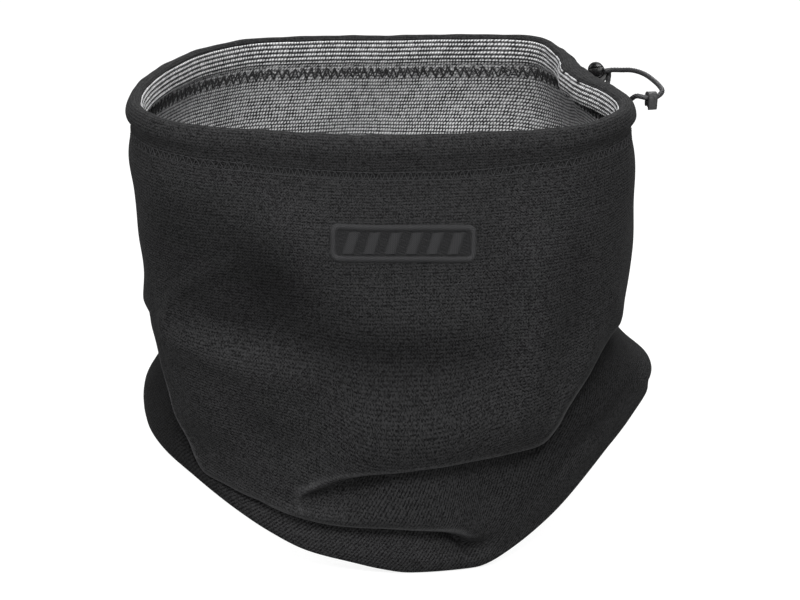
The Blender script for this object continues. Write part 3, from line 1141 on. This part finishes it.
start = ([CLIP - clip_dir * 0.3, CLIP - clip_dir * 2.4]
         + plan((108.3, 2.0, 167.9), (107.7, 8.5, 168.5), (106.2, 15.5, 168.8),
                (104.2, 23.0, 168.9), (101.7, 29.0, 168.7), (98.9, 33.0, 168.3),
                (96.1, 36.0, 167.5))
         + [near + E * 6.4, near + E * 3.6])
loop_run = np.vstack([curve_through(start, 14), near + E * 1.8, near])
finish = ([far, far + E * 1.8, far + E * 3.2, far + E * 4.6]
          + plan((91.2, 40.8, 162.6), (90.2, 36.0, 159.8), (89.8, 29.0, 158.2),
                 (90.6, 21.0, 157.8), (93.0, 12.0, 159.4), (95.6, 5.0, 163.0),
                 (98.0, 0.0, 166.6))
          + [CLIP + clip_dir * 2.6, CLIP + clip_dir * 0.3])
finish_run = curve_through(finish, 14)
loop = Tubes()
for k, run in enumerate((loop_run, finish_run)):
    run = relaxed(evenly(run, 0.26), 10)
    loop.add(run, (0, 0, 1), CORD_R - 0.03, 22, relief=braid, seed=40.0 * k)
cord_loop = attach("drawcord_loop", loop.mesh("drawcord_loop"), CORD)
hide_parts("drawcord")
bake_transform(cord_loop)

near_turn = [near - E * 8.6, near - E * 10.8 + (-0.2, -0.9, 0.0), in_tunnel(18, 1.4), in_tunnel(12, 0.3)]
far_turn = [far - E * 8.6, far - E * 11.2 + (-0.3, 0.8, 0.3), in_tunnel(29, 0.7), in_tunnel(33, 0.2),
            in_tunnel(38)]
lead = Tubes()
lead.add(evenly([near + E * 0.02, near - E * 8.6], 0.26), (0, 0, 1), CORD_R - 0.03, 22, relief=braid, seed=90.0)
lead.add(evenly([far + E * 0.02, far - E * 8.6], 0.26), (0, 0, 1), CORD_R - 0.03, 22, relief=braid, seed=120.0)
cord_lead = attach("drawcord_lead", lead.mesh("drawcord_lead"), CORD)
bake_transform(cord_lead)

ring_angles = list(np.arange(12, -180, -6.0)) + list(np.arange(174, 38, -6.0))
tunnel = curve_through(near_turn + [in_tunnel(a) for a in ring_angles[1:]] + far_turn[::-1], 4)
hidden = Tubes()
hidden.add(evenly(tunnel, 1.5), (0, 0, 1), CORD_R - 0.03, 12)
cord_tunnel = attach("drawcord_in_hem", hidden.mesh("drawcord_in_hem"), CORD)
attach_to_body(cord_tunnel, "gaiter")

# Stitched eyelets where the two strands come through the shell.
shell_tree = BVHTree.FromPolygons([tuple(p) for p in shell.data.vertices[:] and
                                   [v.co[:] for v in shell.data.vertices]],
                                  [tuple(p.vertices) for p in shell.data.polygons])
eyelets = Tubes()
for k, strand in enumerate((near, far)):
    hit, normal, _, _ = shell_tree.ray_cast(Vector((strand + E * 1.0) * MM), Vector(-E))
    if hit is None:
        continue
    centre, out = np.array(hit) / MM, np.array(normal)
    if out @ E < 0:
        out = -out
    x = np.cross(out, (0, 0, 1))
    x /= np.linalg.norm(x)
    y = np.cross(out, x)
    for s in range(26):
        t = s / 26 * math.tau
        ray = x * math.cos(t) + y * math.sin(t)
        arc = [centre + ray * (1.05 + 0.75 * q) + out * (0.26 * math.sin(math.pi * (q * 0.8 + 0.15)) - 0.02)
               for q in np.linspace(0, 1, 5)]
        eyelets.add(arc, out, 0.12, 5, seed=s * 3.0 + k)
if eyelets.count:
    eyelet = attach("buttonhole_stitches", eyelets.mesh("buttonhole_stitches"), SEAM_DARK)
    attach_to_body(eyelet, "gaiter")


# ------------------------------------------------------------------- cord lock
def lathe(name, profile, steps, material):
    bm = bmesh.new()
    rings = []
    for radius, z in profile:
        if radius < 1e-6:
            rings.append([bm.verts.new((0, 0, z * MM))])
        else:
            rings.append([bm.verts.new((radius * MM * math.cos(k / steps * math.tau),
                                        radius * MM * math.sin(k / steps * math.tau), z * MM))
                          for k in range(steps)])
    for a, b in zip(rings, rings[1:]):
        for k in range(steps):
            n = (k + 1) % steps
            if len(a) == 1:
                bm.faces.new((a[0], b[k], b[n]))
            elif len(b) == 1:
                bm.faces.new((a[k], b[0], a[n]))
            else:
                bm.faces.new((a[k], b[k], b[n], a[n]))
    bmesh.ops.recalc_face_normals(bm, faces=bm.faces)
    if bm.calc_volume(signed=True) < 0:
        bmesh.ops.reverse_faces(bm, faces=bm.faces)
    mesh = bpy.data.meshes.new(name)
    bm.to_mesh(mesh)
    bm.free()
    return attach(name, mesh, material)


def rounded_box(name, size, centre, round_by, segments=6, axis="x"):
    bm = bmesh.new()
    bmesh.ops.create_cube(bm, size=1.0)
    for v in bm.verts:
        v.co = Vector([(v.co[k] * size[k] + centre[k]) * MM for k in range(3)])
    if round_by:
        edges = [e for e in bm.edges
                 if abs(getattr((e.verts[0].co - e.verts[1].co).normalized(), axis)) > 0.9]
        bmesh.ops.bevel(bm, geom=edges, offset=round_by * MM, segments=segments, profile=0.5,
                        affect="EDGES")
    mesh = bpy.data.meshes.new(name)
    bm.to_mesh(mesh)
    bm.free()
    return attach(name, mesh, None)


def finish_part(obj, cutters, bevel, matrix):
    for cutter in cutters:
        boolean = obj.modifiers.new("Cut", "BOOLEAN")
        boolean.operation, boolean.solver, boolean.object = "DIFFERENCE", "EXACT", cutter
    soften = obj.modifiers.new("Edge", "BEVEL")
    soften.width, soften.segments = bevel * MM, 3
    soften.limit_method, soften.angle_limit = "ANGLE", math.radians(38)
    soften.harden_normals = False
    bpy.context.view_layer.update()
    graph = bpy.context.evaluated_depsgraph_get()
    made = bpy.data.meshes.new_from_object(obj.evaluated_get(graph))
    obj.modifiers.clear()
    obj.data = made
    bm = bmesh.new()
    bm.from_mesh(made)
    for f in bm.faces:
        f.smooth = True
    for e in bm.edges:
        e.smooth = len(e.link_faces) == 2 and e.calc_face_angle(0.0) < math.radians(32)
    bm.to_mesh(made)
    bm.free()
    for cutter in cutters:
        bpy.data.objects.remove(cutter, do_unlink=True)
    obj.matrix_world = matrix
    return obj


def as_matrix(x, z, origin):
    x, z = np.asarray(x, float), np.asarray(z, float)
    y = np.cross(z, x)
    m = Matrix([(*[axis[k] for axis in (x, y, z)], origin[k] * MM) for k in range(3)] + [(0, 0, 0, 1)])
    return m


LOCK_FRAME = as_matrix(E, A, LOCK)


def fillet(centre_r, centre_z, radius, a0, a1, n=6):
    return [(centre_r + radius * math.cos(math.radians(a0 + (a1 - a0) * k / n)),
             centre_z + radius * math.sin(math.radians(a0 + (a1 - a0) * k / n))) for k in range(n + 1)]


profile = ([(0, -8.6)] + fillet(2.4, -7.7, 0.9, -90, 0)
           + [(3.3, -6.4), (3.18, -6.25), (3.18, -5.75), (3.3, -5.6), (3.3, -4.9), (3.18, -4.75),
              (3.18, -4.25), (3.3, -4.1), (3.3, 2.6)]
           + fillet(2.8, 2.85, 0.5, 0, 90) + [(2.55, 3.35), (2.45, 3.2), (2.45, -7.6), (0, -7.6)])
barrel = lathe("cord_lock_barrel_moulded", profile, 72, PLASTIC)
slot = rounded_box("slot_cutter", (9, 2.6, 4.9), (0, 0, 0), 1.1)
finish_part(barrel, [slot], 0.16, LOCK_FRAME)
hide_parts("cord_lock_barrel")
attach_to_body(barrel, "cord_lock")

profile = ([(0, -4.0), (1.75, -4.0)] + fillet(1.8, -3.65, 0.35, -90, 0)
           + [(2.15, 4.85)] + fillet(2.3, 4.95, 0.15, 180, 90, 3)[:1]
           + [(2.3, 5.0)] + fillet(2.9, 5.25, 0.25, -90, 0) + [(3.15, 5.9)]
           + fillet(2.45, 6.05, 0.7, 0, 84, 8) + [(2.0, 6.86), (1.2, 6.96), (0, 7.0)])
button = lathe("cord_lock_button_moulded", profile, 72, PLASTIC)
slot_top = STRAND + CORD_R + 0.3 + 1.4
slot = rounded_box("slot_cutter", (6, 2.6, slot_top + 2.45), (0, 0, (slot_top - 2.45) / 2), 1.1)
groove = rounded_box("groove_cutter", (8, 0.9, 1.2), (0, 0.5, 7.1), 0.3, 3)
finish_part(button, [slot, groove], 0.1, LOCK_FRAME)
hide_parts("cord_lock_button")
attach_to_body(button, "lock_button")

coils, per_coil = 3, 40
steps = np.arange(coils * per_coil + 1) / per_coil
lowest, highest = -7.6 + 0.28, -4.0 - 0.28
rise = lowest + (highest - lowest) * np.clip((steps - 0.5) / (coils - 1.0), 0, 1)
helix = np.stack([1.5 * np.cos(math.tau * steps), 1.5 * np.sin(math.tau * steps), rise], 1)
wire = Tubes()
wire.add(helix, (0, 0, 1), 0.22, 12)
spring = attach("cord_lock_spring_wire", wire.mesh("cord_lock_spring_wire"), STEEL)
spring.matrix_world = LOCK_FRAME
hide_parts("cord_lock_spring")
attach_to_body(spring, "cord_lock")
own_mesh(spring)

# --------------------------------------------------------------- cord-end clip
bore, band_t, clip_len = 1.3, 1.0, 3.4
arc = [math.radians(a) for a in range(0, 181, 6)]
outside = [((bore + band_t) * math.cos(a), (bore + band_t) * math.sin(a)) for a in arc]
inside = [(bore * math.cos(a), bore * math.sin(a)) for a in arc]
outline = ([(1.62, -4.62), (1.95, -4.4), (2.14, -3.9)] + outside
           + [(-2.08, -3.1), (-1.85, -3.62), (-1.45, -3.8), (-1.12, -3.6), (-1.0, -3.0)]
           + inside[::-1] + [(1.05, -3.8), (1.05, -4.35), (1.3, -4.6)])
bm = bmesh.new()
ends = []
for side in (-0.5, 0.5):
    ends.append([bm.verts.new((x * MM, y * MM, side * clip_len * MM)) for x, y in outline])
n = len(outline)
for k in range(n):
    bm.faces.new((ends[0][k], ends[0][(k + 1) % n], ends[1][(k + 1) % n], ends[1][k]))
for end in ends:
    caps = bm.faces.new(end)
bmesh.ops.triangulate(bm, faces=[f for f in bm.faces if len(f.verts) > 4])
bmesh.ops.recalc_face_normals(bm, faces=bm.faces)
if bm.calc_volume(signed=True) < 0:
    bmesh.ops.reverse_faces(bm, faces=bm.faces)
mesh = bpy.data.meshes.new("cord_end_clip_moulded")
bm.to_mesh(mesh)
bm.free()
clip = attach("cord_end_clip_moulded", mesh, BAND)
across = np.cross((0, 0, 1), clip_dir)
across /= np.linalg.norm(across)
upright = np.cross(clip_dir, across)
CLIP_FRAME = Matrix([(across[k], upright[k], clip_dir[k], CLIP[k] * MM) for k in range(3)] + [(0, 0, 0, 1)])
finish_part(clip, [], 0.22, CLIP_FRAME)
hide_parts("cord_end_clip")
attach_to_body(clip, "gaiter")

# ------------------------------------------------------------ embroidered badge
BADGE_X, BADGE_Z, TILT = (-17.5, 35.0), (138.2, 124.8), -0.022


def on_front(x, z):
    """The shell's face at this plan x and height, seen from straight in front."""
    hit, normal, _, _ = shell_tree.ray_cast(Vector(((x + SHIFT[0]) * MM, -0.3, z * MM)), Vector((0, 1, 0)))
    normal = np.array(normal)
    return np.array(hit) / MM, normal if normal[1] < 0 else -normal


def stitch(tubes, x0, z0, x1, z1, radius, lift, rise, seed, n=7):
    """One satin stitch: it dives into the knit at both ends and crowns between."""
    path, sides = [], []
    for q in np.linspace(0, 1, n):
        x = x0 + (x1 - x0) * q
        z = z0 + (z1 - z0) * q + (x - BADGE_X[0]) * TILT
        p, nrm = on_front(x, z)
        crown = math.sin(math.pi * q) ** 0.5 if 0 < q < 1 else 0.0
        path.append(p + nrm * (lift + rise * crown))
        sides.append(nrm)
    tubes.add(np.array(path), np.array(sides), radius, 6, seed=seed)


BX0, BX1 = BADGE_X
BZ1, BZ0 = BADGE_Z
frame_w, corner = 2.1, 3.0
satin = Tubes()


def outline_at(s, inward):
    """The rounded rectangle's border at distance s round it, moved in by this much."""
    w_, h_ = BX1 - BX0 - 2 * corner, BZ1 - BZ0 - 2 * corner
    parts = [w_, corner * math.pi / 2, h_, corner * math.pi / 2, w_, corner * math.pi / 2, h_,
             corner * math.pi / 2]
    s = s % sum(parts)
    k = 0
    while s > parts[k]:
        s -= parts[k]
        k += 1
    cr = corner - inward
    x_lo, x_hi, z_lo, z_hi = BX0 + corner, BX1 - corner, BZ0 + corner, BZ1 - corner
    if k == 0:
        return x_lo + s, z_hi + cr
    if k == 2:
        return x_hi + cr, z_hi - s
    if k == 4:
        return x_hi - s, z_lo - cr
    if k == 6:
        return x_lo - cr, z_lo + s
    centre = {1: (x_hi, z_hi, 90), 3: (x_hi, z_lo, 0), 5: (x_lo, z_lo, -90), 7: (x_lo, z_hi, 180)}[k]
    a = math.radians(centre[2] - s / corner * 57.29578)
    return centre[0] + cr * math.cos(a), centre[1] + cr * math.sin(a)


perimeter = 2 * (BX1 - BX0 + BZ1 - BZ0) - 8 * corner + math.tau * corner
count = int(perimeter / 0.33)
for k in range(count):
    s = k * perimeter / count
    wobble = 0.10 * math.sin(k * 2.4) + 0.06 * math.sin(k * 5.1)
    x0, z0 = outline_at(s, -0.05 + wobble)
    x1, z1 = outline_at(s + 0.35, frame_w - 0.1 + wobble)
    stitch(satin, x0, z0, x1, z1, 0.19, 0.10, 0.62, k * 1.7, 6)
# Generic slanted bars fill the frame.
bars, inner_x0, inner_x1 = 6, BX0 + frame_w + 1.5, BX1 - frame_w - 1.5
inner_z0, inner_z1 = BZ0 + frame_w + 0.9, BZ1 - frame_w - 0.9
pitch = (inner_x1 - inner_x0) / bars
lean = 2.4
for b in range(bars):
    left = inner_x0 + b * pitch + 0.55
    width = pitch - 3.3
    rows_n = int((inner_z1 - inner_z0) / 0.36)
    for k in range(rows_n + 1):
        z = inner_z0 + (inner_z1 - inner_z0) * k / rows_n
        slide = lean * (z - inner_z0) / (inner_z1 - inner_z0)
        ragged = 0.10 * math.sin(k * 3.1 + b)
        stitch(satin, left + slide + ragged, z, left + slide + width + ragged, z + 0.2, 0.19,
               0.10, 0.46, 300 + b * 40 + k * 1.3, 7)
badge = attach("embroidered_badge_satin", satin.mesh("embroidered_badge_satin"), SATIN)
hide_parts("embroidered_badge")
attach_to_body(badge, "gaiter")

# Running fill stitches under the bars.
fill = Tubes()
rows_n = int((BZ1 - BZ0 - 2 * frame_w + 0.8) / 0.42)
for k in range(rows_n + 1):
    z = BZ0 + frame_w - 0.4 + (BZ1 - BZ0 - 2 * frame_w + 0.8) * k / rows_n
    x = BX0 + frame_w - 0.5 - (k % 3) * 0.9
    x_end = BX1 - frame_w + 0.5
    while x < x_end:
        x_next = min(x + 2.8, x_end)
        a = max(x, BX0 + frame_w - 0.5)
        if x_next - a > 0.5:
            stitch(fill, a, z, x_next, z, 0.2, 0.02, 0.16, k * 3.3 + x, 5)
        x += 2.8
fill_obj = attach("embroidered_badge_fill", fill.mesh("embroidered_badge_fill"), SATIN_DARK)
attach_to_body(fill_obj, "gaiter")

# ----------------------------------------------------------------------- stage
floor_mesh = bpy.data.meshes.new("studio_floor")
ring = 64
floor_mesh.from_pydata([(8 * math.cos(k / ring * math.tau), 8 * math.sin(k / ring * math.tau), 0)
                        for k in range(ring)], [], [tuple(range(ring))])
floor = attach("studio_floor", floor_mesh, floor_look())
floor.location.z = min(0.0, cad_lo.z) - 0.0002

world = bpy.data.worlds.new("studio")
bpy.context.scene.world = world
world.use_nodes = True
world.node_tree.nodes["Background"].inputs[0].default_value = (1, 1, 1, 1)
seen = Value(world.node_tree, camera_only(world.node_tree))
glow = seen * 0.80 + 0.20
world.node_tree.links.new(glow.socket, world.node_tree.nodes["Background"].inputs[1])


def softbox(name, position, target, size, power):
    data = bpy.data.lights.new(name, "AREA")
    data.shape, data.size, data.size_y, data.energy = "RECTANGLE", size[0], size[1], power
    obj = bpy.data.objects.new(name, data)
    bpy.context.scene.collection.objects.link(obj)
    obj.location = position
    obj.rotation_euler = (Vector(target) - Vector(position)).to_track_quat("-Z", "Y").to_euler()
    return obj


softbox("key", (0.12, -0.95, 1.15), (0, 0, 0.1), (0.6, 0.5), 12.0)
softbox("low", (0.15, -1.25, 0.12), (0, 0, 0.05), (1.0, 0.3), 5.0)
softbox("side", (-0.8, -0.55, 0.9), (0, 0, 0.1), (0.5, 0.5), 3.5)
softbox("back", (0.35, 1.1, 0.85), (0, 0, 0.1), (0.7, 0.5), 5.0)
softbox("top", (0.0, 0.0, 1.15), (0, 0, 0.1), (0.8, 0.6), 8.2)

camera_data = bpy.data.cameras.new("camera")
camera_data.sensor_width = 36.0
camera_data.lens = 2208.0 / 800.0 * 36.0
camera_data.clip_start, camera_data.clip_end = 0.05, 40.0
camera = bpy.data.objects.new("camera", camera_data)
bpy.context.scene.collection.objects.link(camera)
camera.location = (0.001184, -0.828622, RIM_Z * MM + 0.220)
camera.rotation_euler = (math.radians(69.5), 0, 0)
bpy.context.scene.camera = camera
bpy.context.scene.view_settings.view_transform = "Standard"
